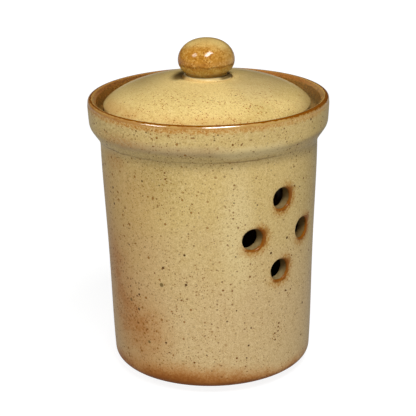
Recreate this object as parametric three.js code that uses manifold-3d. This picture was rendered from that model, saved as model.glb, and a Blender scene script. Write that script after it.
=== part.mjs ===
// A shallot storage jar in glazed stoneware: a round crock with a heavy collar and vent holes,
// a domed lid that drops inside the collar, and a flattened ball knob on the lid.
// Millimetres, +Z up. The origin is the centre of the foot. The plain front faces -Y and
// the two groups of vent holes face +X and -X.

import * as THREE from 'three';
import { mergeVertices } from 'three/addons/utils/BufferGeometryUtils.js';
import Module from 'manifold-3d';

// Crock: outside
const jarHeight = 164;
const baseRadius = 59;
const neckRadius = 63.3;
const collarRadius = 70;
const collarBand = 15.5;
const collarFlare = 8.9;
const collarLean = 0.6;
const collarShoulder = 4.5;
const neckRound = 12;
const collarRound = 5;

// Crock: foot and heel
const heelRun = 13;
const heelRise = 6;
const heelRound = 6;
const footRecess = 2;
const footRingWidth = 8;
const footRound = 0.8;

// Crock: inside
const wall = 6.8;
const floorThickness = 8;
const floorRound = 9;
const ledgeThickness = 6;
const ledgeFlare = 9;
const ledgeRound = 1;

// Crock: lip, and the gallery that the lid drops into
const rimThickness = 5;
const lipRound = 1.5;
const crestInset = 1.8;
const galleryDepth = 9;
const galleryTaper = 1.8;
const galleryRound = 2.4;
const bevelDrop = 1.9;
const lipOuterDegrees = 9;
const lipBevelDegrees = 124;
const ledgeWidth = 8.2;

// Crock: vent holes, a hand-punched diamond of them on each side
const ventRadius = 6.2;
const ventHalfWidth = 18.5;
const ventHalfHeight = 21.5;
const ventCentreHeight = 94.2;
const ventOverrun = 4;

// Lid
const lidGap = 3.1;
const lidEdgeHeight = 4.6;
const lidEdgeTuck = 0.6;
const lidEdgeRound = 1.2;
const domeRise = 15;
const lidThickness = 6.5;
const hollowLift = 2;
const skirtGap = 2;
const skirtThickness = 5;
const skirtDepth = 8;
const skirtRound = 1.6;

// Lid: the low boss under the knob
const bossMargin = 0.8;
const bossFlare = 1.6;
const bossHeight = 1.8;
const bossRound = 0.6;

// Knob
const knobRadius = 16.4;
const knobTopRise = 12.5;
const knobUnderDrop = 10.35;
const knobNeckRadius = 12.4;
const knobNeckHeight = 1.1;
const knobNeckRound = 0.5;

// Swell of the crock's wall from heel to neck: share of the height, share of the widening.
const wallSwellShares = [[0.2, 0.25], [0.4, 0.39], [0.76, 0.8]];

// Vent holes of one group: shares of the half width and half height, a little uneven as punched.
const ventPlaceShares = [[-0.97, 0.02], [0.02, 1], [1.03, -0.06], [0, -1]];

// Powers that shape the lid's dome (height, radius) and the knob's outline.
const domePowerShares = [1.324, 2.81];
const knobPowerShare = 0.89;

// Fineness of the faceted solids
const jarFacets = 60;
const lidFacets = 54;
const knobFacets = 36;
const ventFacets = 24;
const domeSteps = 9;
const hollowSteps = 6;
const knobSteps = 7;
const radiansPerStep = Math.PI / 7;
const weldTolerance = 1e-4;

// Places that follow from the sizes above
const seatHeight = jarHeight - galleryDepth;
const galleryMouthRadius = collarRadius - rimThickness;
const galleryRadius = galleryMouthRadius - galleryTaper;
const boreRadius = galleryRadius - ledgeWidth;
const collarFoot = jarHeight - collarBand - collarFlare;
const floorHeight = footRecess + floorThickness;
const lidRadius = galleryRadius - lidGap;
const skirtRadius = boreRadius - skirtGap;
const hollowRadius = skirtRadius - skirtThickness;
const domeFoot = seatHeight + lidEdgeHeight;
const bossTopRadius = knobNeckRadius + bossMargin;
const bossFootRadius = bossTopRadius + bossFlare;
const bossFootHeight = domeHeight(bossFootRadius, lidRadius, domeFoot, domeRise);
const bossTop = bossFootHeight + bossHeight;

// Height of a dome's surface over its foot at one radius.
function domeHeight(radius, footRadius, footHeight, rise) {
  const [heightPower, radiusPower] = domePowerShares;
  const left = 1 - (radius / footRadius) ** radiusPower;
  return footHeight + rise * left ** (1 / heightPower);
}

// Points of a dome from its foot inwards to one radius, closer together towards the edge.
function domeCurve(footRadius, footHeight, rise, endRadius, steps) {
  const reach = Math.acos(endRadius / footRadius);
  const points = [];
  for (let i = 0; i <= steps; i += 1) {
    const radius = footRadius * Math.cos(reach * i / steps);
    points.push([radius, domeHeight(radius, footRadius, footHeight, rise)]);
  }
  return points;
}

// Rounds the corners of an outline. Each corner is [radius from the axis, height, rounding],
// and a rounding takes no more than half of the shorter side beside it.
function roundCorners(corners) {
  const points = [];
  corners.forEach(([r, z, rounding = 0], i) => {
    const before = corners[i - 1];
    const after = corners[i + 1];
    if (!rounding || !before || !after) {
      points.push(new THREE.Vector2(r, z));
      return;
    }
    const here = new THREE.Vector2(r, z);
    const back = new THREE.Vector2(before[0], before[1]).sub(here);
    const ahead = new THREE.Vector2(after[0], after[1]).sub(here);
    const sideLimit = Math.min(back.length(), ahead.length()) / 2;
    back.normalize();
    ahead.normalize();
    const turn = Math.PI - Math.acos(THREE.MathUtils.clamp(back.dot(ahead), -1, 1));
    const reach = Math.min(rounding * Math.tan(turn / 2), sideLimit);
    const radius = reach / Math.tan(turn / 2);
    const middle = back.clone().add(ahead).normalize();
    const centre = here.clone().addScaledVector(middle, radius / Math.cos(turn / 2));
    const start = here.clone().addScaledVector(back, reach).sub(centre);
    const side = Math.sign(back.cross(ahead));
    const steps = Math.max(1, Math.ceil(turn / radiansPerStep));
    for (let k = 0; k <= steps; k += 1) {
      const spoke = start.clone().rotateAround(new THREE.Vector2(), -side * turn * k / steps);
      points.push(centre.clone().add(spoke));
    }
  });
  return points;
}

// A solid of revolution about +Z from an outline that starts and ends on the axis.
function turned(points, facets) {
  const geometry = new THREE.LatheGeometry(points, facets);
  geometry.rotateX(Math.PI / 2);
  return geometry;
}

// Merges the shared vertices and drops the triangles that have no area.
function welded(geometry) {
  const bare = geometry.clone();
  bare.deleteAttribute('normal');
  bare.deleteAttribute('uv');
  const merged = mergeVertices(bare, weldTolerance);
  const kept = [];
  const index = merged.index.array;
  for (let i = 0; i < index.length; i += 3) {
    const [a, b, c] = [index[i], index[i + 1], index[i + 2]];
    if (a !== b && b !== c && c !== a) {
      kept.push(a, b, c);
    }
  }
  merged.setIndex(kept);
  return merged;
}

const wasm = await Module();
wasm.setup();

function toManifold(geometry) {
  const closed = welded(geometry);
  const mesh = new wasm.Mesh({
    numProp: 3,
    vertProperties: new Float32Array(closed.attributes.position.array),
    triVerts: new Uint32Array(closed.index.array),
  });
  return new wasm.Manifold(mesh);
}

function toGeometry(manifold) {
  const mesh = manifold.getMesh();
  const geometry = new THREE.BufferGeometry();
  geometry.setAttribute('position', new THREE.BufferAttribute(mesh.vertProperties, 3));
  geometry.setIndex(new THREE.BufferAttribute(mesh.triVerts, 1));
  geometry.computeVertexNormals();
  return geometry;
}

// The crock's wall between heel and neck, moved inwards by an inset.
function wallPoints(inset) {
  return wallSwellShares.map(([up, out]) => [
    THREE.MathUtils.lerp(baseRadius, neckRadius, out) - inset,
    THREE.MathUtils.lerp(heelRise, collarFoot, up),
  ]);
}

// The lip: an arc over the crest, from the collar's outer face to the inward bevel.
function lipPoints() {
  const outerFace = THREE.MathUtils.degToRad(lipOuterDegrees);
  const bevelFace = THREE.MathUtils.degToRad(lipBevelDegrees);
  const steps = Math.ceil((bevelFace - outerFace) / radiansPerStep);
  const points = [];
  for (let i = 0; i <= steps; i += 1) {
    const angle = THREE.MathUtils.lerp(outerFace, bevelFace, i / steps);
    points.push([
      collarRadius - crestInset + lipRound * Math.cos(angle),
      jarHeight - lipRound + lipRound * Math.sin(angle),
    ]);
  }
  return points;
}

// Crock: one turned solid from the foot, over the lip and down to the floor inside.
function jarOutline() {
  const footRadius = baseRadius - heelRun;
  const footInner = footRadius - footRingWidth;
  const galleryFillet = Math.min(galleryRound, lidGap);
  const underLedge = seatHeight - ledgeThickness;
  return roundCorners([
    [0, footRecess],
    [footInner - footRecess, footRecess],
    [footInner, 0],
    [footRadius, 0, footRound],
    [baseRadius, heelRise, heelRound],
    ...wallPoints(0),
    [neckRadius, collarFoot, neckRound],
    [collarRadius - collarLean, jarHeight - collarBand, collarRound],
    [collarRadius, jarHeight - collarShoulder, collarRound],
    ...lipPoints(),
    [galleryMouthRadius, jarHeight - bevelDrop, lipRound],
    [galleryRadius, seatHeight, galleryFillet],
    [boreRadius, seatHeight, ledgeRound],
    [boreRadius, underLedge, ledgeRound],
    [neckRadius - wall, underLedge - ledgeFlare, ledgeFlare],
    ...wallPoints(wall).reverse(),
    [baseRadius - wall, floorHeight, floorRound],
    [0, floorHeight],
  ]);
}

// One vent hole's cutter, straight along X through the wall on one side.
function ventCutter(place, side) {
  const [across, up] = place;
  const innerEnd = (baseRadius - wall) / 2;
  const outerEnd = neckRadius + ventOverrun;
  const length = outerEnd - innerEnd;
  const height = ventCentreHeight + ventHalfHeight * up;
  const cutter = new THREE.CylinderGeometry(ventRadius, ventRadius, length, ventFacets);
  cutter.rotateZ(Math.PI / 2);
  cutter.translate(innerEnd + length / 2, ventHalfWidth * across, height);
  cutter.rotateZ(side * Math.PI);
  return toManifold(cutter);
}

function jarGeometry() {
  let crock = toManifold(turned(jarOutline(), jarFacets));
  for (const side of [0, 1]) {
    for (const place of ventPlaceShares) {
      crock = crock.subtract(ventCutter(place, side));
    }
  }
  return toGeometry(crock);
}

// Lid: a thick dome whose edge rests on the ledge, with a skirt that keeps it centred.
function lidOutline() {
  const hollowFoot = seatHeight + hollowLift;
  const hollowRise = domeFoot + domeRise - lidThickness - hollowFoot;
  const hollow = domeCurve(hollowRadius, hollowFoot, hollowRise, 0, hollowSteps).reverse();
  return roundCorners([
    ...hollow,
    [hollowRadius, seatHeight - skirtDepth, skirtRound],
    [skirtRadius, seatHeight - skirtDepth, skirtRound],
    [skirtRadius, seatHeight],
    [lidRadius - lidEdgeTuck, seatHeight, lidEdgeRound],
    ...domeCurve(lidRadius, domeFoot, domeRise, bossFootRadius, domeSteps),
    [bossTopRadius, bossTop, bossRound],
    [0, bossTop],
  ]);
}

// A point of the knob's ball, at an angle above its widest place.
function knobPoint(angle, waist) {
  const rise = angle < 0 ? knobUnderDrop : knobTopRise;
  return [knobRadius * Math.cos(angle) ** knobPowerShare, waist + rise * Math.sin(angle)];
}

// Knob: a flattened ball on a short neck, luted face to face on the boss.
function knobOutline() {
  const neckAngle = Math.acos((knobNeckRadius / knobRadius) ** (1 / knobPowerShare));
  const waist = bossTop + knobNeckHeight + knobUnderDrop * Math.sin(neckAngle);
  const corners = [
    [0, bossTop],
    [knobNeckRadius, bossTop, knobNeckRound],
  ];
  for (let i = 0; i <= knobSteps; i += 1) {
    corners.push(knobPoint(-neckAngle * (1 - i / knobSteps), waist));
  }
  for (let i = 1; i < knobSteps; i += 1) {
    corners.push(knobPoint(Math.PI / 2 * i / knobSteps, waist));
  }
  corners.push([0, waist + knobTopRise]);
  return roundCorners(corners);
}

// Glazes
function glaze(color, roughness) {
  return new THREE.MeshStandardMaterial({ color, roughness, metalness: 0 });
}

function subPart(name, geometry, material) {
  const mesh = new THREE.Mesh(geometry, material);
  mesh.name = name;
  return mesh;
}

const jar = subPart('jar', jarGeometry(), glaze(0xc8ac70, 0.3));
const lid = subPart('lid', turned(lidOutline(), lidFacets), glaze(0xd2b878, 0.3));
const knob = subPart('knob', turned(knobOutline(), knobFacets), glaze(0xb9853f, 0.25));

const lidAssembly = new THREE.Group();
lidAssembly.add(lid, knob);

const group = new THREE.Group();
group.add(jar, lidAssembly);

export default group;
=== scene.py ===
"""The looks of a shallot storage jar: a stoneware crock with vent holes, its domed lid and ball knob.

The frame is in metres, +Z up. Sizes here are in millimetres, and MM turns them into metres.
"""

import math

import bpy
import numpy as np
from mathutils import Matrix, Vector


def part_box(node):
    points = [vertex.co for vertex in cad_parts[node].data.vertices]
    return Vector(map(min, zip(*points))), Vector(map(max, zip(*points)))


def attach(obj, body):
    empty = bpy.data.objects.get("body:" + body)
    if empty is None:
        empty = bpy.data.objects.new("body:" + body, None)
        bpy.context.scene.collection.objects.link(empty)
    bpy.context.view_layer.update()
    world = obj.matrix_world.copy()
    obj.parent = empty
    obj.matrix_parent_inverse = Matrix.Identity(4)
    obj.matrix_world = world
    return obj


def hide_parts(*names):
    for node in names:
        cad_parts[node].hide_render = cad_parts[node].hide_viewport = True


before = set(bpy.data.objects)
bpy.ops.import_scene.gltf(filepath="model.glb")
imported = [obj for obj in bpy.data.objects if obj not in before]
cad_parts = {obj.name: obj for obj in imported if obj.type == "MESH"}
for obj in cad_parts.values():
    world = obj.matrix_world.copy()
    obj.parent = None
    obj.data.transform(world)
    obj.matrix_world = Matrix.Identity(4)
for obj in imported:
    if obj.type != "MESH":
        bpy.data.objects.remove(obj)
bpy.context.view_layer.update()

MM = 0.001

# Sizes of the crock, as built
JAR_HEIGHT = (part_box("jar")[1].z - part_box("jar")[0].z) / MM
COLLAR_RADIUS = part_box("jar")[1].x / MM
BASE_RADIUS = 59.0
NECK_RADIUS = 63.3
COLLAR_BAND = 15.5
COLLAR_FLARE = 8.9
COLLAR_LEAN = 0.6
COLLAR_SHOULDER = 4.5
NECK_ROUND = 12.0
COLLAR_ROUND = 5.0
COLLAR_FOOT_ROUND = 8.0
HEEL_RUN = 13.0
HEEL_RISE = 6.0
HEEL_ROUND = 6.0
FOOT_RECESS = 2.0
FOOT_RING_WIDTH = 8.0
FOOT_ROUND = 0.8
WALL = 6.8
FLOOR_THICKNESS = 8.0
FLOOR_ROUND = 9.0
LEDGE_THICKNESS = 6.0
LEDGE_FLARE = 9.0
LEDGE_ROUND = 1.0
RIM_THICKNESS = 5.0
LIP_ROUND = 2.0
CREST_INSET = 2.2
LIP_DEGREES = (9.0, 124.0)
GALLERY_DEPTH = 9.0
GALLERY_TAPER = 1.8
GALLERY_ROUND = 2.4
BEVEL_DROP = 1.9
BEVEL_ROUND = 1.5
LEDGE_WIDTH = 8.2
WALL_SWELL_SHARES = ((0.0, 0.0), (0.2, 0.25), (0.4, 0.39), (0.76, 0.8), (1.0, 1.0))

# Vent holes
VENT_RADIUS = 6.2
VENT_EDGE = 1.1
VENT_HALF_WIDTH = 18.5
VENT_HALF_HEIGHT = 21.5
VENT_CENTRE_HEIGHT = 94.2
VENT_PLACE_SHARES = ((-0.97, 0.02), (0.02, 1.0), (1.03, -0.06), (0.0, -1.0))
# Share of painted shade over each vent's tunnel
VENT_SHADE_SHARES = (0.0, 0.25, 0.95, 0.0)
VENT_HEIGHTS = (60.0, 130.0)
VENT_WALLS = (60.63, 62.74)

# Sizes of the lid
LID_GAP = 3.1
LID_EDGE_HEIGHT = 4.6
LID_EDGE_TUCK = 0.6
LID_EDGE_ROUND = 1.2
DOME_RISE = 15.0
DOME_POWERS = (1.324, 2.81)
LID_THICKNESS = 6.5
HOLLOW_LIFT = 2.0
SKIRT_GAP = 2.0
SKIRT_THICKNESS = 5.0
SKIRT_DEPTH = 8.0
SKIRT_ROUND = 1.6
BOSS_MARGIN = 0.6
BOSS_FLARE = 1.2
BOSS_ROUND = 0.9

# Sizes of the knob
KNOB_RADIUS = 16.4
KNOB_TOP_RISE = 12.5
KNOB_UNDER_DROP = 10.35
KNOB_NECK_RADIUS = 12.4
KNOB_NECK_HEIGHT = 1.1
KNOB_NECK_ROUND = 0.5
KNOB_POWER = 0.89
KNOB_CREASE_SHARE = 0.66

# The lid lies loose on its seat, this far from the middle to the viewer's left
LID_OFFSET = 0.7

# Places that follow from the sizes
SEAT = JAR_HEIGHT - GALLERY_DEPTH
GALLERY_MOUTH_RADIUS = COLLAR_RADIUS - RIM_THICKNESS
GALLERY_RADIUS = GALLERY_MOUTH_RADIUS - GALLERY_TAPER
BORE_RADIUS = GALLERY_RADIUS - LEDGE_WIDTH
COLLAR_FOOT = JAR_HEIGHT - COLLAR_BAND - COLLAR_FLARE
VENT_WALL_FOOT = HEEL_RISE * 3
VENT_WALL_TOP = COLLAR_FOOT - NECK_ROUND
LID_RADIUS = GALLERY_RADIUS - LID_GAP
SKIRT_RADIUS = BORE_RADIUS - SKIRT_GAP
HOLLOW_RADIUS = SKIRT_RADIUS - SKIRT_THICKNESS
DOME_FOOT = SEAT + LID_EDGE_HEIGHT
BOSS_TOP_RADIUS = KNOB_NECK_RADIUS + BOSS_MARGIN
BOSS_FOOT_RADIUS = BOSS_TOP_RADIUS + BOSS_FLARE
BOSS_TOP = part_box("knob")[0].z / MM

# Fineness of the meshes
JAR_COLUMNS = 240
LID_COLUMNS = 200
KNOB_COLUMNS = 128
ROW_STEP = 1.5
KNOB_ROW_STEP = 1.0
ARC_STEP = math.radians(9)
PATCH_ROWS = 6
PATCH_COLUMNS = 6
EDGE_STEPS = 6
TUNNEL_STEPS = 4
PATCH_RING_SHARES = (0.4, 0.75, 1.0)
WALL_POINTS = 24
LIP_POINTS = 15
HOLLOW_STEPS = 30
DOME_STEPS = 44
KNOB_POINTS = 40
OUTLINE_TOLERANCE = 0.1

# The photograph's camera: its azimuth round the jar, and the lens that fits the picture
VIEW_AZIMUTH = math.radians(50.3)
VIEW_ELEVATION = math.radians(20.0477)
VIEW_ROLL = math.radians(-1.0225)
VIEW_DISTANCE = 801.894
VIEW_PIVOT_HEIGHT = 80.0
AIM_RIGHT = -1.241
AIM_HEIGHT = 94.199
FOCAL_PIXELS = 1337.892
FRAME_PIXELS = 416
SENSOR_WIDTH = 36.0
CLIP_METRES = (0.01, 50.0)

# The studio, in metres: a round floor with a backdrop at its edge, glowing brighter further out
FLOOR_REACH = 6.0
BACKDROP_HEIGHT = 5.0
BACKDROP_SIDES = 96
FLOOR_TONE = 0.2
FLOOR_LIFT = 0.89
PAPER_ROUGHNESS = 0.9
BACKDROP_GLOW = 1.1
GLOW_FROM, GLOW_TO = 0.5, 1.4

# Glows from the floor and from above, and how softly they meet at the horizon
FLOOR_GLOW = 0.38
SKY_GLOW = 0.02
HORIZON_BLUR = 0.06

# Soft lights: azimuth and elevation in degrees, width and height in metres, watts, turn in degrees
SOFTBOXES = {
    "key": (14, 57, (1.6, 0.72), 70, 40),
    "fill": (-62, 43, (0.85, 0.85), 18),
    "front": (10, 10, (2.6, 1.0), 20),
    "side": (-100, 8, (1.5, 1.0), 6),
    "back": (180, 12, (2.4, 1.4), 14),
}
SOFTBOX_DISTANCE = 3.0
SOFTBOX_AIM_SHARE = 0.6

# The soft lights that show in the glaze
GLEAMING = ("key", "fill")


def dome_height(radius, foot_radius, foot_height, rise):
    """Height of a dome's surface at one radius."""
    height_power, radius_power = DOME_POWERS
    left = 1 - (radius / foot_radius) ** radius_power
    return foot_height + rise * left ** (1 / height_power)


def dome_curve(foot_radius, foot_height, rise, end_radius, steps):
    """Points of a dome from its foot inwards to one radius."""
    reach = math.acos(end_radius / foot_radius)
    radii = [foot_radius * math.cos(reach * i / steps) for i in range(steps + 1)]
    return [(r, dome_height(r, foot_radius, foot_height, rise)) for r in radii]


def round_corners(corners):
    """An outline with its corners rounded. A corner is (radius, height) or (radius, height, rounding)."""
    points = []
    for i, corner in enumerate(corners):
        here = np.array(corner[:2], float)
        rounding = corner[2] if len(corner) > 2 else 0.0
        if not rounding or i in (0, len(corners) - 1):
            points.append(here)
            continue
        back = np.array(corners[i - 1][:2], float) - here
        ahead = np.array(corners[i + 1][:2], float) - here
        limit = min(np.linalg.norm(back), np.linalg.norm(ahead)) / 2
        back /= np.linalg.norm(back)
        ahead /= np.linalg.norm(ahead)
        turn = math.pi - math.acos(float(np.clip(back @ ahead, -1, 1)))
        reach = min(rounding * math.tan(turn / 2), limit)
        radius = reach / math.tan(turn / 2)
        middle = (back + ahead) / np.linalg.norm(back + ahead)
        centre = here + middle * radius / math.cos(turn / 2)
        spoke = here + back * reach - centre
        side = -math.copysign(1, back[0] * ahead[1] - back[1] * ahead[0])
        steps = max(2, math.ceil(turn / ARC_STEP))
        for k in range(steps + 1):
            a = side * turn * k / steps
            turned = (spoke[0] * math.cos(a) - spoke[1] * math.sin(a),
                      spoke[0] * math.sin(a) + spoke[1] * math.cos(a))
            points.append(centre + np.array(turned))
    return points


def densified(points, step=ROW_STEP):
    """The same outline with points added where two are further apart than step."""
    dense = [points[0]]
    for before, after in zip(points, points[1:]):
        count = max(1, math.ceil(np.linalg.norm(after - before) / step))
        dense += [before + (after - before) * k / count for k in range(1, count + 1)]
    return np.array(dense)


def wall_points(inset):
    """The crock's wall between heel and neck, moved inwards by an inset, as a smooth swell."""
    up, out = np.array(WALL_SWELL_SHARES).T
    swell = np.polyfit(up, out, len(up) - 1)
    shares = np.linspace(0, 1, WALL_POINTS)[1:-1]
    radii = BASE_RADIUS + (NECK_RADIUS - BASE_RADIUS) * np.polyval(swell, shares) - inset
    heights = HEEL_RISE + (COLLAR_FOOT - HEEL_RISE) * shares
    return list(zip(radii, heights))


def jar_outline():
    """Outline of the crock from the foot over the lip to the floor inside, and the index of its crest."""
    foot_radius = BASE_RADIUS - HEEL_RUN
    foot_inner = foot_radius - FOOT_RING_WIDTH
    under_ledge = SEAT - LEDGE_THICKNESS
    floor = FOOT_RECESS + FLOOR_THICKNESS
    angles = np.radians(np.linspace(*LIP_DEGREES, LIP_POINTS))
    lip = [(COLLAR_RADIUS - CREST_INSET + LIP_ROUND * math.cos(a),
            JAR_HEIGHT - LIP_ROUND + LIP_ROUND * math.sin(a)) for a in angles]
    corners = [
        (0, FOOT_RECESS),
        (foot_inner - FOOT_RECESS, FOOT_RECESS, FOOT_ROUND),
        (foot_inner, 0, FOOT_ROUND),
        (foot_radius, 0, FOOT_ROUND),
        (BASE_RADIUS, HEEL_RISE, HEEL_ROUND),
        *wall_points(0),
        (NECK_RADIUS, COLLAR_FOOT, NECK_ROUND),
        (COLLAR_RADIUS - COLLAR_LEAN, JAR_HEIGHT - COLLAR_BAND, COLLAR_FOOT_ROUND),
        (COLLAR_RADIUS, JAR_HEIGHT - COLLAR_SHOULDER, COLLAR_ROUND),
        *lip,
        (GALLERY_MOUTH_RADIUS, JAR_HEIGHT - BEVEL_DROP, BEVEL_ROUND),
        (GALLERY_RADIUS, SEAT, GALLERY_ROUND),
        (BORE_RADIUS, SEAT, LEDGE_ROUND),
        (BORE_RADIUS, under_ledge, LEDGE_ROUND),
        (NECK_RADIUS - WALL, under_ledge - LEDGE_FLARE, LEDGE_FLARE),
        *wall_points(WALL)[::-1],
        (BASE_RADIUS - WALL, floor, FLOOR_ROUND),
        (0, floor),
    ]
    points = densified(round_corners(corners))
    return points, int(points[:, 1].argmax())


def lid_outline():
    """Outline of the lid from the hollow underside round the skirt and over the dome to the boss."""
    hollow_foot = SEAT + HOLLOW_LIFT
    hollow_rise = DOME_FOOT + DOME_RISE - LID_THICKNESS - hollow_foot
    hollow = dome_curve(HOLLOW_RADIUS, hollow_foot, hollow_rise, 0, HOLLOW_STEPS)[::-1]
    corners = [
        *hollow,
        (HOLLOW_RADIUS, SEAT - SKIRT_DEPTH, SKIRT_ROUND),
        (SKIRT_RADIUS, SEAT - SKIRT_DEPTH, SKIRT_ROUND),
        (SKIRT_RADIUS, SEAT),
        (LID_RADIUS - LID_EDGE_TUCK, SEAT, LID_EDGE_ROUND),
        *dome_curve(LID_RADIUS, DOME_FOOT, DOME_RISE, BOSS_FOOT_RADIUS, DOME_STEPS),
        (BOSS_TOP_RADIUS, BOSS_TOP, BOSS_ROUND),
        (0, BOSS_TOP),
    ]
    return densified(round_corners(corners))


def knob_outline():
    """Outline of the knob: a flat base on the boss, a short neck and a flattened ball."""
    neck_angle = math.acos((KNOB_NECK_RADIUS / KNOB_RADIUS) ** (1 / KNOB_POWER))
    waist = BOSS_TOP + KNOB_NECK_HEIGHT + KNOB_UNDER_DROP * math.sin(neck_angle)
    corners = [(0, BOSS_TOP), (KNOB_NECK_RADIUS, BOSS_TOP, KNOB_NECK_ROUND)]
    for angle in np.linspace(-neck_angle, math.pi / 2, KNOB_POINTS)[:-1]:
        rise = KNOB_UNDER_DROP if angle < 0 else KNOB_TOP_RISE
        corners.append((KNOB_RADIUS * math.cos(angle) ** KNOB_POWER, waist + rise * math.sin(angle)))
    corners.append((0, waist + KNOB_TOP_RISE))
    return densified(round_corners(corners), KNOB_ROW_STEP)


def on_jar(degrees, radius, height):
    """A place round the jar, its angle counted from the front to the viewer's right."""
    azimuth = VIEW_AZIMUTH + math.radians(degrees)
    return (radius * math.sin(azimuth), -radius * math.cos(azimuth), height)


def new_object(name, data):
    """An object of the scene with the data given."""
    obj = bpy.data.objects.new(name, data)
    bpy.context.scene.collection.objects.link(obj)
    return obj


class Surface:
    """Vertices and faces of one closed piece, gathered in millimetres."""

    def __init__(self):
        self.points = []
        self.faces = []
        self.inner = set()

    def add(self, point):
        self.points.append(tuple(point))
        return len(self.points) - 1

    def turned(self, outline, columns, skipped=frozenset()):
        """Turns an outline about +Z, one ring to a point. Cells in skipped, as (row, column), stay open."""
        angles = np.arange(columns) * 2 * math.pi / columns
        rings = [[self.add((0, 0, outline[0][1]))]]
        for r, z in outline[1:-1]:
            rings.append([self.add((r * math.cos(a), r * math.sin(a), z)) for a in angles])
        rings.append([self.add((0, 0, outline[-1][1]))])
        for j in range(columns):
            after = (j + 1) % columns
            self.faces.append((rings[0][0], rings[1][after], rings[1][j]))
            self.faces.append((rings[-1][0], rings[-2][j], rings[-2][after]))
            for i in range(1, len(rings) - 2):
                if (i, j) not in skipped:
                    self.faces.append((rings[i][j], rings[i][after], rings[i + 1][after], rings[i + 1][j]))
        return rings

    def bridge(self, loop_a, loop_b):
        """Joins two loops of as many vertices with a band of faces."""
        count = len(loop_a)
        for k in range(count):
            after = (k + 1) % count
            self.faces.append((loop_a[k], loop_a[after], loop_b[after], loop_b[k]))

    def set_aside(self):
        """Shifts the lid or its knob to where the photograph has the lid lying on its seat."""
        x_shift, y_shift, _ = on_jar(-90, LID_OFFSET, 0.0)
        self.points = [(x + x_shift, y + y_shift, z) for x, y, z in self.points]

    def mark_inner(self, loops):
        """Notes vertices as lying inside the jar or under the lid."""
        self.inner |= {v for loop in loops for v in loop}

    def to_object(self, name):
        """A smooth-shaded object without loose vertices, its inner ones marked by an attribute."""
        used = sorted({v for face in self.faces for v in face})
        place = {v: n for n, v in enumerate(used)}
        points = [Vector(self.points[v]) * MM for v in used]
        mesh = bpy.data.meshes.new(name)
        mesh.from_pydata(points, [], [[place[v] for v in face] for face in self.faces])
        mesh.shade_smooth()
        marks = mesh.attributes.new("inside", "FLOAT", "POINT")
        marks.data.foreach_set("value", [float(v in self.inner) for v in used])
        mesh.update()
        return new_object(name, mesh)


class Wall:
    """One face of the crock's wall, as a radius at each height."""

    def __init__(self, outline, rows):
        self.rows = rows[np.argsort(outline[rows, 1])]
        self.radii, self.heights = outline[self.rows].T

    def depth(self, across, up):
        """Distance of the wall from the jar's middle plane, along a vent hole."""
        radius = float(np.interp(up, self.heights, self.radii))
        return math.sqrt(radius ** 2 - across ** 2)

    def patch(self, across, up, turn):
        """Cells of the grid round one vent hole, and their border in order, as (row, column)."""
        row = self.rows[int(np.abs(self.heights - up).argmin())]
        angle = math.atan2(turn * across, turn * self.depth(across, up))
        column = round(angle / (2 * math.pi) * JAR_COLUMNS)
        low, high = row - PATCH_ROWS, row + PATCH_ROWS
        first, last = column - PATCH_COLUMNS, column + PATCH_COLUMNS
        cells = {(i, j % JAR_COLUMNS) for i in range(low, high) for j in range(first, last)}
        border = [(low, j) for j in range(first, last)]
        border += [(i, last) for i in range(low, high)]
        border += [(high, j) for j in range(last, first, -1)]
        border += [(i, first) for i in range(high, low, -1)]
        return cells, [(i, j % JAR_COLUMNS) for i, j in border]


def vent_rings(surface, wall, centre, border, turn, outward):
    """Rings from the border of a patch to the edge of the vent hole and over its rounded edge."""
    flat = [np.array((turn * surface.points[v][1], surface.points[v][2])) for v in border]
    spokes = [(p - centre) / np.linalg.norm(p - centre) for p in flat]
    rings = [border]
    sign = -1 if outward else 1

    def ring(places, sinks):
        made = []
        for (across, up), sink in zip(places, sinks):
            depth = wall.depth(across, up) + sign * sink
            made.append(surface.add((turn * depth, turn * across, up)))
        return made

    rim = [centre + s * (VENT_RADIUS + VENT_EDGE) for s in spokes]
    for share in PATCH_RING_SHARES:
        places = [a + (b - a) * share for a, b in zip(flat, rim)]
        rings.append(ring(places, [0.0] * len(places)))
    for k in range(1, EDGE_STEPS + 1):
        bend = math.pi / 2 * k / EDGE_STEPS
        reach = VENT_RADIUS + VENT_EDGE * (1 - math.sin(bend))
        places = [centre + s * reach for s in spokes]
        rings.append(ring(places, [VENT_EDGE * (1 - math.cos(bend))] * len(places)))
    return rings


def cut_vents(surface, outer, inner, patches):
    """Joins the open patches outside and inside with rounded edges and a straight tunnel."""
    for (across, up), turn, outer_border, inner_border in patches:
        centre = np.array((across, up))
        outside = vent_rings(surface, outer, centre, outer_border, turn, True)
        inside = vent_rings(surface, inner, centre, inner_border, turn, False)
        tunnel = []
        for k in range(1, TUNNEL_STEPS):
            ring = []
            for a, b in zip(outside[-1], inside[-1]):
                start, end = np.array(surface.points[a]), np.array(surface.points[b])
                point = start + (end - start) * k / TUNNEL_STEPS
                spoke = np.array((turn * point[1], point[2])) - centre
                spoke *= VENT_RADIUS / np.linalg.norm(spoke)
                ring.append(surface.add((point[0], turn * (centre[0] + spoke[0]), centre[1] + spoke[1])))
            tunnel.append(ring)
        surface.mark_inner(inside[:-EDGE_STEPS])
        chain = outside + tunnel + inside[::-1]
        for a, b in zip(chain, chain[1:]):
            surface.bridge(a, b)


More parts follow.
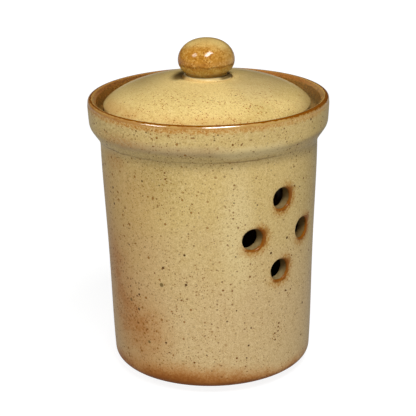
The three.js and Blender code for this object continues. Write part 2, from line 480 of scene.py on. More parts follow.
def make_jar():
    """The crock with its punched vent holes, as one closed mesh."""
    outline, crest = jar_outline()
    index = np.arange(len(outline))
    in_zone = (outline[:, 1] > VENT_WALL_FOOT) & (outline[:, 1] < VENT_WALL_TOP)
    outer = Wall(outline, index[in_zone & (index < crest)])
    inner = Wall(outline, index[in_zone & (index > crest)])
    surface = Surface()
    skipped, found = set(), []
    for turn in (1, -1):
        for across_share, up_share in VENT_PLACE_SHARES:
            across = VENT_HALF_WIDTH * across_share
            up = VENT_CENTRE_HEIGHT + VENT_HALF_HEIGHT * up_share
            outer_cells, outer_border = outer.patch(across, up, turn)
            inner_cells, inner_border = inner.patch(across, up, turn)
            skipped |= outer_cells | inner_cells
            found.append(((across, up), turn, outer_border, inner_border))
    rings = surface.turned(outline, JAR_COLUMNS, skipped)
    patches = []
    for place, turn, outer_border, inner_border in found:
        outside = [rings[i][j] for i, j in outer_border]
        inside = [rings[i][j] for i, j in inner_border]
        patches.append((place, turn, outside, matched(surface, outside, inside, place, turn)))
    cut_vents(surface, outer, inner, patches)
    under_seat = next(i for i in range(crest, len(outline)) if outline[i, 1] < SEAT - LEDGE_ROUND)
    surface.mark_inner(rings[under_seat:])
    return surface.to_object("crock")


def matched(surface, outside, inside, place, turn):
    """The inner border turned round and started so that it faces the outer one."""
    def bearing(v):
        _, y, z = surface.points[v]
        return math.atan2(z - place[1], turn * y - place[0])

    def mismatch(loop):
        return sum(1 - math.cos(bearing(a) - bearing(b)) for a, b in zip(outside, loop))

    loops = []
    for loop in (inside, inside[::-1]):
        loops += [loop[k:] + loop[:k] for k in range(len(loop))]
    return min(loops, key=mismatch)


def make_lid():
    """The domed lid with its boss, hollow underside and skirt."""
    outline = lid_outline()
    surface = Surface()
    rings = surface.turned(outline, LID_COLUMNS)
    skirt_edge = SKIRT_RADIUS - OUTLINE_TOLERANCE
    skirt = next(i for i, (radius, _) in enumerate(outline) if radius > skirt_edge)
    surface.mark_inner(rings[:skirt])
    surface.set_aside()
    return surface.to_object("domed_lid")


def make_knob():
    """The ball knob in the middle of the lid."""
    surface = Surface()
    surface.turned(knob_outline(), KNOB_COLUMNS)
    surface.set_aside()
    return surface.to_object("ball_knob")


class Paint:
    """Short names for the shader nodes of one material. Sizes are in millimetres."""

    def __init__(self, name):
        self.material = bpy.data.materials.new(name)
        self.material.use_nodes = True
        self.tree = self.material.node_tree
        self.tree.nodes.clear()
        where = self.node("ShaderNodeTexCoord").outputs["Object"]
        self.mm = self.vector("MULTIPLY", where, (1 / MM,) * 3)
        self.x, self.y, self.z = self.node("ShaderNodeSeparateXYZ", {0: self.mm}).outputs
        self.radius = self.flat_length(self.x, self.y)

    def node(self, kind, inputs=(), **settings):
        made = self.tree.nodes.new(kind)
        for key, value in settings.items():
            setattr(made, key, value)
        for key, value in dict(inputs).items():
            self.plug(made.inputs[key], value)
        return made

    def plug(self, socket, value):
        if isinstance(value, bpy.types.NodeSocket):
            self.tree.links.new(value, socket)
        elif socket.type == "RGBA":
            socket.default_value = (*value, 1.0)
        else:
            socket.default_value = value

    def math(self, operation, a, b=0.0):
        return self.node("ShaderNodeMath", {0: a, 1: b}, operation=operation).outputs[0]

    def add(self, a, b):
        return self.math("ADD", a, b)

    def sub(self, a, b):
        return self.math("SUBTRACT", a, b)

    def times(self, first, *others):
        for other in others:
            first = self.math("MULTIPLY", first, other)
        return first

    def shifted(self, value, *pushes):
        """A value pushed by patterns, each given with its weight."""
        for pattern, weight in pushes:
            value = self.add(value, self.times(pattern, weight))
        return value

    def centred(self, pattern):
        """A pattern that lies round 0.5, brought round 0."""
        return self.sub(pattern, 0.5)

    def vector(self, operation, a, b):
        return self.node("ShaderNodeVectorMath", {0: a, 1: b}, operation=operation).outputs[0]

    def length(self, vector):
        return self.node("ShaderNodeVectorMath", {0: vector}, operation="LENGTH").outputs["Value"]

    def flat_length(self, x, y):
        return self.length(self.node("ShaderNodeCombineXYZ", {"X": x, "Y": y}).outputs[0])

    def ramp(self, value, low, high, low_out=0.0, high_out=1.0):
        """A smooth step: low_out where value is low, high_out where it is high."""
        inputs = {"Value": value, "From Min": low, "From Max": high, "To Min": low_out, "To Max": high_out}
        return self.node("ShaderNodeMapRange", inputs, interpolation_type="SMOOTHSTEP").outputs[0]

    def rescaled(self, share, low, high):
        """A share from 0 to 1, made to run from low to high."""
        return self.ramp(share, 0, 1, low, high)

    def about(self, value, place, low, high, *outs):
        """A ramp whose ends are counted from a place."""
        return self.ramp(value, place + low, place + high, *outs)

    def band(self, value, place, rise, fall):
        """1 within a band that rises and falls as counted from a place."""
        return self.times(self.about(value, place, *rise), self.about(value, place, *fall))

    def over(self, colour, tone, *shares):
        """A colour with a tone laid over it by the product of the shares."""
        made = self.node("ShaderNodeMix", data_type="RGBA", clamp_factor=True)
        self.plug(made.inputs[0], self.times(*shares))
        self.plug(made.inputs[6], colour)
        self.plug(made.inputs[7], tone)
        return made.outputs[2]

    def stretched(self, across, along):
        """Coordinates in which noise is drawn out by a factor along the axis."""
        return self.vector("MULTIPLY", self.mm, (1 / across, 1 / across, 1 / along))

    def noise(self, size, detail, shift, where=None):
        """Noise round 0.5 whose blobs are about size across. Another shift gives another pattern."""
        place = self.vector("ADD", where or self.mm, (shift, shift, shift))
        inputs = {"Vector": place, "Scale": 1 / size, "Detail": detail}
        return self.node("ShaderNodeTexNoise", inputs).outputs["Fac"]

    def specks(self, spacing, radius, share, softness=0.4):
        """Small round spots in the clay: the share of cells of one spacing that hold one."""
        inputs = {"Vector": self.mm, "Scale": 1 / spacing, "Randomness": 1.0}
        cells = self.node("ShaderNodeTexVoronoi", inputs)
        picked = self.node("ShaderNodeSeparateColor", {"Color": cells.outputs["Color"]})
        keep = self.math("GREATER_THAN", share, picked.outputs[0])
        largest = radius / spacing
        size = self.rescaled(picked.outputs[1], SMALLEST_SPECK_SHARE * largest, largest)
        core = self.times(size, 1 - softness)
        return self.times(self.ramp(cells.outputs["Distance"], size, core), keep)

    def spot(self, centre, radii, core):
        """A soft spot: 1 within a core share of the radii round a centre, 0 outside them."""
        scaled = self.vector("DIVIDE", self.vector("SUBTRACT", self.mm, centre), radii)
        return self.ramp(self.length(scaled), 1.0, core)

    def patch(self, degrees, radius, height, across, up, core):
        """A soft spot on the wall, with its reach across and up."""
        return self.spot(on_jar(degrees, radius, height), (across, across, up), core)

    def inside(self):
        """1 on the surfaces that lie inside the jar or under the lid."""
        return self.node("ShaderNodeAttribute", attribute_name="inside").outputs["Fac"]

    def facing(self, degrees, low, high):
        """1 on the side of the jar that lies at an angle from the front, 0 on the other side."""
        x, y, _ = on_jar(degrees, 1.0, 0.0)
        dot = self.add(self.times(self.x, x), self.times(self.y, y))
        return self.ramp(self.math("DIVIDE", dot, self.radius), low, high)

    def finish(self, obj, **shader):
        """Ends the material in a principled shader and gives it to the object."""
        principled = self.node("ShaderNodeBsdfPrincipled")
        for key, value in shader.items():
            self.plug(principled.inputs[key.replace("_", " ")], value)
        output = self.node("ShaderNodeOutputMaterial")
        self.tree.links.new(principled.outputs[0], output.inputs[0])
        obj.data.materials.clear()
        obj.data.materials.append(self.material)


def srgb(red, green, blue):
    """A colour from 0 to 255 as linear light."""
    def linear(c):
        c /= 255
        return c / 12.92 if c <= 0.04045 else ((c + 0.055) / 1.055) ** 2.4
    return (linear(red), linear(green), linear(blue))


STRAW = srgb(221, 191, 130)
YELLOW = srgb(225, 197, 122)
PINKISH = srgb(219, 188, 142)
CREAM = srgb(238, 215, 156)
OLIVE_SHADE = srgb(196, 168, 98)
GRAIN_LIGHT = srgb(240, 216, 158)
GRAIN_DARK = srgb(194, 156, 90)
LID_STRAW = srgb(238, 209, 134)
LID_OLIVE = srgb(216, 187, 112)
LID_LIGHT = srgb(250, 226, 160)
LID_DARK = srgb(208, 170, 98)
LID_SHADE = srgb(170, 146, 94)
LID_GREY_SHADE = srgb(178, 156, 116)
LID_FRECKLE = srgb(180, 112, 50)
RUST = srgb(196, 130, 58)
LIP_RUST = srgb(194, 134, 58)
DEEP_RUST = srgb(170, 100, 36)
HEEL_BROWN = srgb(146, 80, 18)
EDGE_BROWN = srgb(146, 82, 2)
CREST_TAN = srgb(208, 166, 92)
SHADE = srgb(184, 156, 120)
HALO = srgb(142, 79, 6)
HALO_RUST = srgb(186, 127, 38)
INNER_BROWN = srgb(108, 68, 28)
GALLERY_BROWN = srgb(154, 106, 38)
OLIVE_GALLERY_SHADE = srgb(138, 112, 52)
TUNNEL = srgb(162, 140, 96)
TUNNEL_SHADE = srgb(124, 98, 56)
FINE_SPECK = srgb(152, 94, 20)
SPECK = srgb(124, 70, 4)
DARK_SPECK = srgb(88, 50, 6)
OLIVE_SPOT = srgb(112, 88, 40)
SOFT_SPOT = srgb(150, 104, 44)
BEVEL_TAN = srgb(204, 158, 94)
BISCUIT = srgb(206, 184, 150)
KNOB_TAN = srgb(206, 162, 86)
KNOB_ORANGE = srgb(203, 144, 56)
KNOB_GOLD = srgb(231, 198, 121)
KNOB_RUST = srgb(172, 112, 29)
KNOB_FRECKLE = srgb(142, 82, 14)
KNOB_OLIVE = srgb(180, 150, 68)
KNOB_DARK = srgb(112, 70, 16)
KNOB_SHADOW = srgb(92, 66, 20)

# Single blemishes: degrees from the front, height, radius, colour
BLEMISHES = (
    (-36.2, 128.2, 0.85, DARK_SPECK),
    (-27.5, 67.4, 1.6, OLIVE_SPOT),
    (-50.2, 52.5, 1.3, OLIVE_SPOT),
    (-37.4, 29.5, 1.2, OLIVE_SPOT),
    (8.1, 46.8, 0.75, DARK_SPECK),
    (21.6, 40.9, 0.75, DARK_SPECK),
    (-48.0, 100.0, 0.7, SPECK),
    (-9.0, 118.0, 0.6, SPECK),
    (-28.8, 158.9, 0.65, DARK_SPECK),
    (-25.8, 160.4, 0.65, DARK_SPECK),
    (-35.4, 156.5, 0.55, SPECK),
    (4.0, 159.2, 0.65, DARK_SPECK),
    (2.2, 158.4, 0.5, DARK_SPECK),
    (2.4, 156.3, 0.6, DARK_SPECK),
    (25.2, 156.2, 0.55, SPECK),
    (14.8, 153.4, 0.55, SPECK),
)

# Soft patches of the wall, each with degrees, radius, height, reach across and up, and core share, then its
# share and tone: a paler cream patch, then two olive patches of painted shade, on the upper right and below
# the collar on the left
WALL_PATCHES = (
    ((14, 62, 100, 15, 54, 0.2), 0.8, CREAM),
    ((70, 62, 116, 30, 52, 0.1), 0.65, OLIVE_SHADE),
    ((-27, 62, 130, 24, 22, 0.1), 0.6, OLIVE_SHADE),
)
COLLAR_TINGES = ((-46, 66, 151, 30, 6, 0.2), (-58, 63, 135, 16, 8, 0.2))
KILN_RUST = (
    ((-45, 62, 36, 34, 31, 0.0), 1.1),
    ((-64, 62, 66, 24, 44, 0.0), 0.85),
    ((-20, 60, 8, 42, 17, 0.0), 0.65),
)

# Sides on which the brown heel reaches further up or down, and by how much
HEEL_SWAYS = (((-20, 0.4, 1.0), -5.0), ((-75, 0.7, 1.0), 3.0), ((38, 0.5, 1.0), 1.3))

# The smallest speck of a kind, against the largest
SMALLEST_SPECK_SHARE = 0.45

# Heights of the crease under the collar and of the one round the knob
CREASE = 142.0
KNOB_CREASE = BOSS_TOP + KNOB_UNDER_DROP * KNOB_CREASE_SHARE

# Rust round a vent hole: the side it favours, and the reach of each tone out from the edge
HALO_SIDE = (0.84, -0.54)
HALO_REACH = (6.0, 1.2)
DOTS_REACH = (8.0, 2.0)
EDGE_REACH = (2.1, 0.9)
SMEAR_PLACE = (VENT_RADIUS + 0.6, VENT_RADIUS * 0.62)
SMEAR_REACH = (3.6, 0.8)
TUNNEL_MOUTH = (1.2, 0.6)

# The gloss of the glaze, and how it differs on the wall, round the boss and on the lip
GLOSS = {"Roughness": 0.55, "Specular_IOR_Level": 0.0, "Coat_Weight": 1.0, "Coat_Roughness": 0.12}
BODY_COAT = 0.5
BOSS_COAT = 0.15
BODY_COAT_IOR = 1.5
LIP_COAT_IOR = 2.2


def speckled(paint, colour):
    """Iron specks that the glaze draws out of the clay: many fine ones and a few larger, darker ones."""
    crowd = paint.ramp(paint.noise(14, 2, shift=7.3), 0.35, 0.65, 0.3, 1.0)
    colour = paint.over(colour, FINE_SPECK, paint.specks(1.15, 0.55, 0.45), crowd, 0.75)
    colour = paint.over(colour, SPECK, paint.specks(2.4, 0.74, 0.36, 0.25), crowd, 0.95)
    return paint.over(colour, DARK_SPECK, paint.specks(6.0, 0.95, 0.4, 0.25), 0.95)


def mottled(paint, colour, light, dark):
    """The glaze's own grain: grit finer than a millimetre and soft blotches a little wider."""
    blotch = paint.noise(1.9, 3, shift=3.1)
    colour = paint.over(colour, light, paint.ramp(blotch, 0.5, 0.75, 0, 0.45))
    colour = paint.over(colour, dark, paint.ramp(blotch, 0.5, 0.25, 0, 0.4))
    grit = paint.noise(0.62, 1, shift=13.7)
    colour = paint.over(colour, light, paint.ramp(grit, 0.5, 0.72, 0, 0.6))
    return paint.over(colour, dark, paint.ramp(grit, 0.5, 0.28, 0, 0.6))


def glaze_skin(paint, ripple_height=0.08, peel_height=0.008):
    """Small unevenness of a fired glaze, as a normal."""
    ripple = paint.noise(9, 1, shift=11.0)
    peel = paint.noise(1.6, 1, shift=5.0)
    height = paint.shifted(paint.times(ripple, ripple_height), (peel, peel_height))
    return paint.node("ShaderNodeBump", {"Strength": 1.0, "Distance": MM, "Height": height}).outputs[0]


def vent_glaze(paint, colour, freckle):
    """Round the vents the glaze pulls back and leaves the edge rusty. It is thin in the tunnels, which get
    painted shade on their upper sides, deeper in some holes.
    """
    across = paint.times(paint.y, paint.math("SIGN", paint.x))
    uneven = paint.centred(freckle)
    patchy = paint.noise(2.2, 2, shift=4.9)
    dots = paint.specks(1.5, 0.6, 0.6)
    wall = paint.ramp(paint.z, *VENT_HEIGHTS, *VENT_WALLS)
    depth = paint.shifted(paint.sub(wall, paint.radius), (freckle, -0.5))
    for (across_share, up_share), shade_share in zip(VENT_PLACE_SHARES, VENT_SHADE_SHARES):
        off_y = paint.sub(across, VENT_HALF_WIDTH * across_share)
        off_z = paint.sub(paint.z, VENT_CENTRE_HEIGHT + VENT_HALF_HEIGHT * up_share)
        away = paint.flat_length(off_y, off_z)
        toward = paint.shifted(paint.times(off_y, HALO_SIDE[0]), (off_z, HALO_SIDE[1]))
        side = paint.ramp(paint.math("DIVIDE", toward, away), -0.75, 0.2, 0.08, 1.0)
        halo = paint.about(paint.shifted(away, (uneven, 2.2)), VENT_RADIUS, *HALO_REACH)
        colour = paint.over(colour, HALO_RUST, halo, side, 0.75)
        colour = paint.over(colour, DEEP_RUST, dots, paint.about(away, VENT_RADIUS, *DOTS_REACH), side)
        smear_y, smear_z = paint.sub(off_y, SMEAR_PLACE[0]), paint.sub(off_z, SMEAR_PLACE[1])
        smear = paint.ramp(paint.flat_length(smear_y, smear_z), *SMEAR_REACH)
        colour = paint.over(colour, HALO, smear, paint.rescaled(freckle, 0.4, 1.0), 0.8)
        edge = paint.about(paint.shifted(away, (uneven, 0.9)), VENT_RADIUS, *EDGE_REACH)
        colour = paint.over(colour, HALO, edge, side, 0.95)
        # Painted shade over the tunnel's upper side, and more over the tunnels of some holes
        ceiling = paint.ramp(paint.shifted(off_z, (off_y, 0.3)), -4.5, 4.5)
        tunnel = paint.over(TUNNEL, TUNNEL_SHADE, ceiling)
        dark = paint.ramp(patchy, 0.35, 0.7, shade_share, 0.5 + shade_share / 2)
        tunnel = paint.over(tunnel, TUNNEL_SHADE, dark)
        tunnel = paint.over(tunnel, HALO, paint.ramp(depth, *TUNNEL_MOUTH), side, 0.9)
        colour = paint.over(colour, tunnel, paint.about(away, VENT_RADIUS, 0.25, 0.05))
    return colour


def lip_glaze(paint, colour):
    """The lip: freckles down the collar, a brown line on the edge, a paler crest, a brown gallery with
    painted shade low in it.
    """
    z = paint.z
    warm = paint.facing(-60, -0.6, 0.7)
    back = paint.facing(-170, -0.05, 0.5)
    right = paint.facing(90, 0.3, 0.8)
    grit = paint.noise(0.8, 2, shift=15.5)
    inward = paint.sub(COLLAR_RADIUS, paint.radius)

    # Rust freckles and streaks just below the rounded edge
    streak = paint.centred(paint.noise(1.3, 3, where=paint.stretched(1.6, 1.0), shift=12.1))
    fade = paint.about(paint.shifted(z, (streak, 8)), JAR_HEIGHT, -5.5, -2.5)
    fade = paint.times(fade, paint.ramp(grit, 0.4, 0.6, 0.5, 1.0))
    colour = paint.over(colour, LIP_RUST, fade, paint.rescaled(warm, 0.7, 1.0))
    drops = paint.times(paint.specks(1.6, 0.62, 0.5), paint.about(z, JAR_HEIGHT, -11, -3))
    colour = paint.over(colour, DEEP_RUST, drops, paint.rescaled(warm, 0.5, 0.85))

    # The edge is tan and blotchy, with a thin dark line along its inner side
    on_top = paint.about(z, JAR_HEIGHT, -2.0, -1.3)
    blotch = paint.ramp(paint.noise(8, 3, shift=6.6), 0.46, 0.66, 0.0, 0.5)
    crest = paint.over(CREST_TAN, DEEP_RUST, blotch)
    crest = paint.over(crest, DEEP_RUST, paint.facing(-75, 0.35, 0.8), paint.ramp(inward, 1.1, 0.6), 0.5)
    crest = paint.over(crest, DEEP_RUST, back, 0.5)
    colour = paint.over(colour, crest, on_top, 0.9)
    wander = paint.centred(paint.noise(2.5, 3, shift=8.8))
    line = paint.shifted(paint.sub(inward, 1.75), (wander, 1.1), (right, 0.3))
    broken = paint.times(right, paint.ramp(grit, 0.35, 0.6, 0.0, 0.25))
    line = paint.sub(paint.math("ABSOLUTE", line), broken)
    line = paint.shifted(line, (paint.facing(-85, 0.5, 0.9), 0.25))
    colour = paint.over(colour, EDGE_BROWN, paint.ramp(line, 1.0, 0.6), on_top)

    # The gallery is brown above and olive below, the olive being painted shade toward the seat, with
    # painted shade on its left and painted light on its right, under a tan bevel
    drip = paint.centred(paint.noise(4, 3, shift=10.3))
    shelf = paint.about(paint.shifted(z, (drip, 7)), SEAT, 1.5, 5.5)
    shelf = paint.over(OLIVE_GALLERY_SHADE, GALLERY_BROWN, shelf)
    shelf = paint.over(shelf, INNER_BROWN, paint.facing(-80, 0.3, 0.9), 0.5)
    shelf = paint.over(shelf, TUNNEL, paint.facing(85, 0.6, 0.95), 0.4)
    bevel = paint.over(BEVEL_TAN, DEEP_RUST, back, 0.85)
    bevel = paint.over(bevel, INNER_BROWN, paint.facing(-135, 0.75, 0.97), 0.7)
    shelf = paint.over(shelf, bevel, paint.about(z, SEAT, 6.6, 7.6))
    shelf = mottled(paint, shelf, RUST, INNER_BROWN)
    return paint.over(colour, shelf, paint.ramp(inward, 3.1, 3.7), paint.about(z, SEAT, -1, 0))


def glaze_crock(jar):
    """Straw glaze with rust, a brown heel and lip, painted shade under the collar, and bare clay where the
    foot and the lid sit.
    """
    paint = Paint("crock_glaze")
    z, radius = paint.z, paint.radius
    sway = paint.centred(paint.noise(26, 2, shift=1.7))
    blotch = paint.centred(paint.noise(9, 3, shift=9.1))
    freckle = paint.ramp(paint.noise(1.5, 2, shift=2.2), 0.38, 0.62)

    # The straw glaze: yellower towards the top, pinker towards the foot, paler where it lies thick, with
    # olive patches of painted shade below the collar
    colour = paint.over(YELLOW, PINKISH, paint.ramp(paint.shifted(z, (sway, 60)), 125, 45))
    colour = paint.over(colour, STRAW, 0.4)
    for patch, share, tone in WALL_PATCHES:
        colour = paint.over(colour, tone, paint.patch(*patch), share)
    colour = mottled(paint, colour, GRAIN_LIGHT, GRAIN_DARK)

    # Painted shade under the collar, deeper on the left, with painted light under it on the right, painted
    # shade at the collar's right edge, and a line in the crease
    height = paint.shifted(z, (blotch, 2.5))
    under = paint.band(height, CREASE, (3.0, 5.5), (7.5, 5.5))
    colour = paint.over(colour, SHADE, under, 0.22)
    fold = paint.band(height, CREASE, (3.0, 6.5), (12.5, 8.0))
    colour = paint.over(colour, SHADE, fold, paint.facing(-22, 0.8, 0.95), 0.5)
    catch = paint.band(height, CREASE, (1.0, 3.5), (11.0, 7.0))
    colour = paint.over(colour, CREAM, catch, paint.facing(21, 0.93, 0.99), 0.7)
    edge_shade = paint.about(height, CREASE, -2.0, 2.0)
    colour = paint.over(colour, OLIVE_SHADE, edge_shade, paint.facing(70, 0.93, 1.0), 0.5)
    crease = paint.ramp(paint.math("ABSOLUTE", paint.sub(height, CREASE)), 0.75, 0.1)
    broken = paint.ramp(paint.noise(34, 1, shift=3.3), 0.4, 0.6, 0.1, 0.55)
    colour = paint.over(colour, SPECK, crease, broken)
    tinge = paint.math("MAXIMUM", *(paint.patch(*patch) for patch in COLLAR_TINGES))
    colour = paint.over(colour, RUST, tinge, paint.rescaled(freckle, 0.15, 0.5))

    # Rust that the kiln brought out low on the left, and a brown heel
    mask = paint.shifted(0.0, *((paint.patch(*patch), strength) for patch, strength in KILN_RUST))
    uneven = paint.ramp(paint.shifted(blotch, (freckle, 0.1)), -0.16, 0.18, 0.62, 1.0)
    rust = paint.times(mask, uneven)
    colour = paint.over(colour, RUST, rust, 0.72)
    colour = paint.over(colour, DEEP_RUST, paint.ramp(rust, 0.4, 1.2), paint.rescaled(freckle, 0.3, 0.75))
    colour = paint.over(colour, RUST, paint.facing(-70, 0.55, 0.98), paint.ramp(z, 150, 120), 0.3)
    edge = paint.shifted(z, (sway, 12), (blotch, 6), (freckle, -1.5))
    edge = paint.shifted(edge, *((paint.facing(*side), reach) for side, reach in HEEL_SWAYS))
    colour = paint.over(colour, RUST, paint.ramp(edge, 17, 5, 0, 0.85))
    colour = paint.over(colour, HEEL_BROWN, paint.ramp(edge, 12, 2, 0, 0.95))

    # Spots and specks
    soft = paint.specks(1.9, 0.95, 0.5, 0.8)
    colour = paint.over(colour, SOFT_SPOT, soft, paint.facing(-65, 0.0, 0.8), 0.45)
    coarse = paint.specks(3.1, 0.95, 0.34, 0.3)
    colour = paint.over(colour, FINE_SPECK, coarse, paint.facing(-45, 0.3, 0.9), 0.8)
    freckles = paint.specks(1.4, 0.65, 0.6)
    colour = paint.over(colour, HEEL_BROWN, freckles, paint.ramp(rust, 0.15, 0.7), 0.8)
    colour = speckled(paint, colour)
    outline, crest = jar_outline()
    radii, heights = np.array([point for point in outline[:crest] if point[1] > HEEL_RISE]).T
    for degrees, up, size, tone in BLEMISHES:
        place = on_jar(degrees, float(np.interp(up, heights, radii)), up)
        colour = paint.over(colour, tone, paint.spot(place, (size, size, size), 0.5), 0.85)
    colour = lip_glaze(paint, colour)

    # Brown liner glaze inside
    colour = paint.over(colour, INNER_BROWN, paint.inside())
    colour = vent_glaze(paint, colour, freckle)

    # Bare clay where the foot stands and where the lid sits
    foot = paint.times(paint.ramp(z, 0.9, 0.3), paint.about(radius, BASE_RADIUS, 0.0, -HEEL_RUN / 2))
    seat = paint.band(z, SEAT, (-1.2, -0.4), (0.15, -0.05))
    seat = paint.times(seat, paint.about(radius, LID_RADIUS, -1.4, -2.4))
    bare = paint.math("MAXIMUM", foot, seat)
    colour = paint.over(colour, mottled(paint, BISCUIT, CREAM, GRAIN_DARK), bare)
    shine = paint.about(z, JAR_HEIGHT, -3.0, -1.5, BODY_COAT, GLOSS["Coat_Weight"])
    gloss = dict(GLOSS, Coat_Weight=paint.times(paint.sub(1.0, bare), shine))
    gloss["Coat_IOR"] = paint.about(z, JAR_HEIGHT, -2.2, -1.4, BODY_COAT_IOR, LIP_COAT_IOR)
    paint.finish(jar, Base_Color=colour, Normal=glaze_skin(paint), **gloss)


def glaze_lid(lid):
    """Straw glaze, freckled in front, with a cream boss, a brown hollow and a bare edge below, painted
    shade round the dome and painted shadow under the knob.
    """
    paint = Paint("lid_glaze")
    z, radius = paint.z, paint.radius
    front = paint.facing(0, -0.1, 0.95)

    # The dome is straw and olive, with painted shade at the back, on the right and at the left brim
    olive = paint.ramp(paint.noise(24, 3, shift=4.4), 0.36, 0.62)
    pale = paint.rescaled(paint.facing(-50, 0.0, 0.8), 1.0, 0.35)
    colour = mottled(paint, paint.over(LID_STRAW, LID_OLIVE, olive, pale), LID_LIGHT, LID_DARK)
    back = paint.times(paint.facing(-165, -0.7, 0.5), paint.ramp(radius, 10, 40))
    colour = paint.over(colour, LID_SHADE, back, paint.ramp(radius, 38, 52, 1.0, 0.5), 0.8)
    right = paint.times(paint.facing(70, 0.55, 0.97), paint.ramp(radius, 12, 28))
    colour = paint.over(colour, LID_GREY_SHADE, right, paint.ramp(radius, 38, 52, 1.0, 0.2), 0.35)
    brim = paint.times(paint.about(radius, LID_RADIUS, -8, -1), paint.ramp(front, 0.3, 0.8, 0.4, 0.0))
    colour = paint.over(colour, LID_SHADE, brim, paint.facing(-80, 0.95, 0.4))

    # Freckles and specks, thickest in front, and a rusty rim
    patchy = paint.ramp(paint.noise(9, 2, shift=5.5), 0.35, 0.6, 0.5, 1.0)
    near = paint.times(front, paint.ramp(radius, 18, 46))
    freckles = paint.specks(1.3, 0.58, 0.75)
    colour = paint.over(colour, LID_FRECKLE, freckles, patchy, paint.rescaled(near, 0.35, 1.0))
    specks = paint.specks(3.2, 0.7, 0.35)
    colour = paint.over(colour, SPECK, specks, patchy, paint.rescaled(front, 0.4, 0.8))
    rim = paint.times(paint.about(radius, LID_RADIUS, -10, 0), paint.facing(-35, 0.3, 0.9))
    colour = paint.over(colour, RUST, rim, paint.ramp(patchy, 0.3, 1.0, 0.1, 0.4))

    # Painted shadow beside the boss under the knob, painted shade on the lid's side edge, a bare rim below
    # and the brown underside
    under = paint.times(paint.about(radius, BOSS_FOOT_RADIUS, 5.5, 0.5), paint.facing(210, -0.1, 0.3))
    left = paint.times(paint.about(radius, BOSS_FOOT_RADIUS, 9.5, 4.0), paint.facing(-102, 0.75, 0.95))
    colour = paint.over(colour, KNOB_SHADOW, paint.math("MAXIMUM", under, left), 0.85)
    colour = paint.over(colour, OLIVE_GALLERY_SHADE, paint.about(z, DOME_FOOT, -0.5, -2.5), 0.8)
    colour = paint.over(colour, BISCUIT, paint.about(z, SEAT, 0.3, 0.1))
    colour = paint.over(colour, INNER_BROWN, paint.inside())

    # The boss is cream, with rust round its foot and painted shadow in the gap on the right under the knob
    ring = paint.band(radius, BOSS_FOOT_RADIUS, (-0.8, 0.0), (1.2, 0.2))
    colour = paint.over(colour, RUST, ring, paint.about(z, DOME_FOOT, 0, 10), 0.3)
    colour = paint.over(colour, CREAM, paint.about(radius, BOSS_FOOT_RADIUS, 0.0, -1.0), 0.8)
    gap = paint.times(paint.about(radius, BOSS_FOOT_RADIUS, 0.8, -0.2), paint.facing(104, 0.75, 0.95))
    inner = paint.rescaled(paint.facing(76, 0.6, 0.9), 0.3, 1.0)
    inner = paint.times(paint.about(radius, BOSS_TOP_RADIUS, 0.8, 0.2), inner)
    colour = paint.over(colour, KNOB_SHADOW, paint.math("MAXIMUM", gap, inner), 0.85)
    gloss = dict(GLOSS, Coat_Weight=paint.about(radius, BOSS_FOOT_RADIUS, 2, 6, BOSS_COAT, BODY_COAT))
    paint.finish(lid, Base_Color=colour, Normal=glaze_skin(paint), **gloss)


def glaze_knob(knob):
    """Gold on top, flecked orange round the middle, olive below, with a dark crease, and painted shade at
    its foot and on its right.
    """
    paint = Paint("knob_glaze")
    z = paint.z
    wide = paint.noise(3.4, 2, where=paint.stretched(1.5, 0.8), shift=2.5)
    fleck = paint.shifted(paint.times(paint.noise(1.1, 2, shift=6.0), 0.5), (wide, 0.5))
    grit = paint.noise(0.9, 2, shift=3.7)
    blotch = paint.noise(5, 3, shift=2.0)
    left = paint.facing(-50, -0.7, 0.9)
    raised = paint.shifted(z, (paint.facing(-8, 0.6, 0.95), -1.7))

    # The tones of its top, middle and base, with painted shade at its foot and right side
    top = paint.about(paint.shifted(raised, (blotch, 6)), KNOB_CREASE, 9, 14)
    colour = paint.over(KNOB_TAN, KNOB_GOLD, top)
    orange = paint.about(raised, KNOB_CREASE, 12.5, 6.5, 0.1, 0.95)
    colour = paint.over(colour, KNOB_ORANGE, left, orange)
    colour = paint.over(colour, KNOB_OLIVE, paint.about(z, KNOB_CREASE, 1.0, -2.0, 0, 0.85))
    middle = paint.about(raised, KNOB_CREASE, 12.0, 6.5, 0.15, 1.0)
    middle = paint.times(middle, paint.about(z, KNOB_CREASE, -4, 0, 0.5, 1.0))
    rust = paint.times(paint.ramp(fleck, 0.42, 0.6), middle, paint.ramp(blotch, 0.32, 0.55, 0.5, 1.0))
    colour = paint.over(colour, KNOB_RUST, rust, paint.rescaled(left, 0.5, 0.9))
    colour = paint.over(colour, KNOB_GOLD, paint.ramp(fleck, 0.48, 0.36), 0.35)
    # Painted shade round the knob's foot, low on its right and down its right edge
    colour = paint.over(colour, KNOB_SHADOW, paint.about(z, BOSS_TOP, 3.5, 0.5, 0, 0.6))
    dusk = paint.times(paint.about(z, BOSS_TOP, 5, 2), paint.facing(60, 0.4, 0.9))
    colour = paint.over(colour, KNOB_SHADOW, dusk, 0.35)
    colour = paint.over(colour, KNOB_RUST, paint.facing(95, 0.9, 1.0), 0.5)

    # Its crease and freckles
    off = paint.shifted(paint.sub(z, KNOB_CREASE), (paint.centred(blotch), 2.4))
    crease = paint.ramp(paint.math("ABSOLUTE", off), 1.0, 0.1)
    colour = paint.over(colour, KNOB_DARK, crease, paint.ramp(grit, 0.35, 0.6, 0.25, 0.75))
    crowd = paint.times(paint.ramp(blotch, 0.38, 0.58, 0.3, 1.0), paint.rescaled(middle, 0.45, 1.0))
    crowd = paint.times(crowd, paint.rescaled(left, 0.5, 1.0))
    colour = paint.over(colour, KNOB_FRECKLE, paint.specks(1.15, 0.6, 0.7), crowd, 0.8)
    paint.finish(knob, Base_Color=colour, Normal=glaze_skin(paint, 0.03, 0.004), **GLOSS)


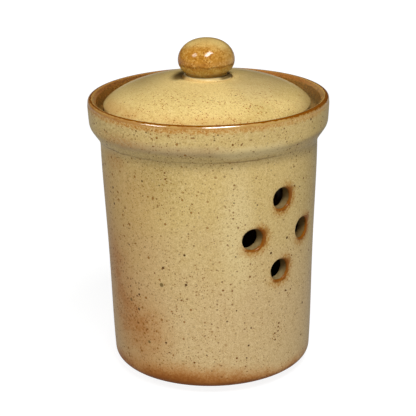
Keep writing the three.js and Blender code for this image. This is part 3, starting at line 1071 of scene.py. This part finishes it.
def make_camera():
    """The camera at the photograph's angle."""
    reach = VIEW_DISTANCE * math.cos(VIEW_ELEVATION)
    place = Vector(on_jar(0, reach, VIEW_PIVOT_HEIGHT + VIEW_DISTANCE * math.sin(VIEW_ELEVATION)))
    aim = Vector(on_jar(90, AIM_RIGHT, AIM_HEIGHT))
    forward = (aim - place).normalized()
    right = forward.cross(Vector((0, 0, 1))).normalized()
    up = right.cross(forward)
    rolled_right = right * math.cos(VIEW_ROLL) + up * math.sin(VIEW_ROLL)
    rolled_up = up * math.cos(VIEW_ROLL) - right * math.sin(VIEW_ROLL)
    data = bpy.data.cameras.new("camera")
    data.sensor_fit = "HORIZONTAL"
    data.sensor_width = SENSOR_WIDTH
    data.lens = FOCAL_PIXELS / FRAME_PIXELS * SENSOR_WIDTH
    data.clip_start, data.clip_end = CLIP_METRES
    camera = new_object("camera", data)
    pose = Matrix((rolled_right, rolled_up, -forward)).transposed().to_4x4()
    camera.matrix_world = Matrix.Translation(place * MM) @ pose
    bpy.context.scene.camera = camera


def softbox(name, azimuth, elevation, size, power, turn=0.0):
    """A rectangular soft light, its azimuth counted from the camera's to the viewer's right."""
    elevation = math.radians(elevation)
    direction = Vector(on_jar(azimuth, math.cos(elevation), math.sin(elevation)))
    data = bpy.data.lights.new(name, "AREA")
    data.shape = "RECTANGLE"
    data.size, data.size_y = size
    data.energy = power
    light = new_object(name, data)
    aim = direction.to_track_quat("Z", "Y").to_matrix().to_4x4()
    centre = Vector((0, 0, JAR_HEIGHT * MM * SOFTBOX_AIM_SHARE))
    spin = Matrix.Rotation(math.radians(turn), 4, "Z")
    light.matrix_world = Matrix.Translation(centre + direction * SOFTBOX_DISTANCE) @ aim @ spin
    return light


def make_surround():
    """Light from all round: a pale floor's bounce from below, and next to none from above."""
    world = bpy.data.worlds.new("surround")
    world.use_nodes = True
    tree = world.node_tree
    background = tree.nodes["Background"]
    where = tree.nodes.new("ShaderNodeTexCoord")
    split = tree.nodes.new("ShaderNodeSeparateXYZ")
    blend = tree.nodes.new("ShaderNodeMapRange")
    blend.interpolation_type = "SMOOTHSTEP"
    ends = {"From Min": HORIZON_BLUR, "From Max": -HORIZON_BLUR, "To Min": SKY_GLOW, "To Max": FLOOR_GLOW}
    for key, value in ends.items():
        blend.inputs[key].default_value = value
    tree.links.new(where.outputs["Generated"], split.inputs[0])
    tree.links.new(split.outputs["Z"], blend.inputs["Value"])
    tree.links.new(blend.outputs[0], background.inputs["Strength"])
    background.inputs["Color"].default_value = (1, 1, 1, 1)
    bpy.context.scene.world = world


def make_paper(name, points, faces):
    """A sheet of the studio's glowing white paper, which neither lights the jar nor shows in it."""
    mesh = bpy.data.meshes.new(name)
    mesh.from_pydata(points, [], faces)
    sheet = new_object(name, mesh)
    paint = Paint(name + "_paper")
    glow = paint.ramp(paint.radius, GLOW_FROM / MM, GLOW_TO / MM, FLOOR_LIFT, BACKDROP_GLOW)
    paint.finish(sheet, Base_Color=(FLOOR_TONE,) * 3, Roughness=PAPER_ROUGHNESS, Emission_Color=(1, 1, 1),
                 Emission_Strength=glow, Specular_IOR_Level=0.0)
    sheet.visible_diffuse = False
    sheet.visible_glossy = False
    return sheet


def make_studio():
    """A plain pale floor and backdrop, an even surround and soft lights."""
    angles = np.arange(BACKDROP_SIDES) * 2 * math.pi / BACKDROP_SIDES
    edge = [(FLOOR_REACH * math.cos(a), FLOOR_REACH * math.sin(a)) for a in angles]
    low = [(x, y, 0) for x, y in edge]
    high = [(x, y, BACKDROP_HEIGHT) for x, y in edge]
    walls = [(i, (i + 1) % BACKDROP_SIDES) for i in range(BACKDROP_SIDES)]
    walls = [(a, b, b + BACKDROP_SIDES, a + BACKDROP_SIDES) for a, b in walls]
    floor = make_paper("floor", low, [tuple(range(BACKDROP_SIDES))])
    backdrop = make_paper("backdrop", low + high, walls)
    backdrop.visible_shadow = False
    make_surround()
    for name, light in SOFTBOXES.items():
        softbox(name, *light).visible_glossy = name in GLEAMING
    bpy.context.scene.view_settings.view_transform = "Standard"


make_camera()
make_studio()

crock = make_jar()
lid = make_lid()
knob = make_knob()
glaze_crock(crock)
glaze_lid(lid)
glaze_knob(knob)

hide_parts("jar")
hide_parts("lid")
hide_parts("knob")
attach(crock, "jar")
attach(lid, "lid")
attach(knob, "lid")
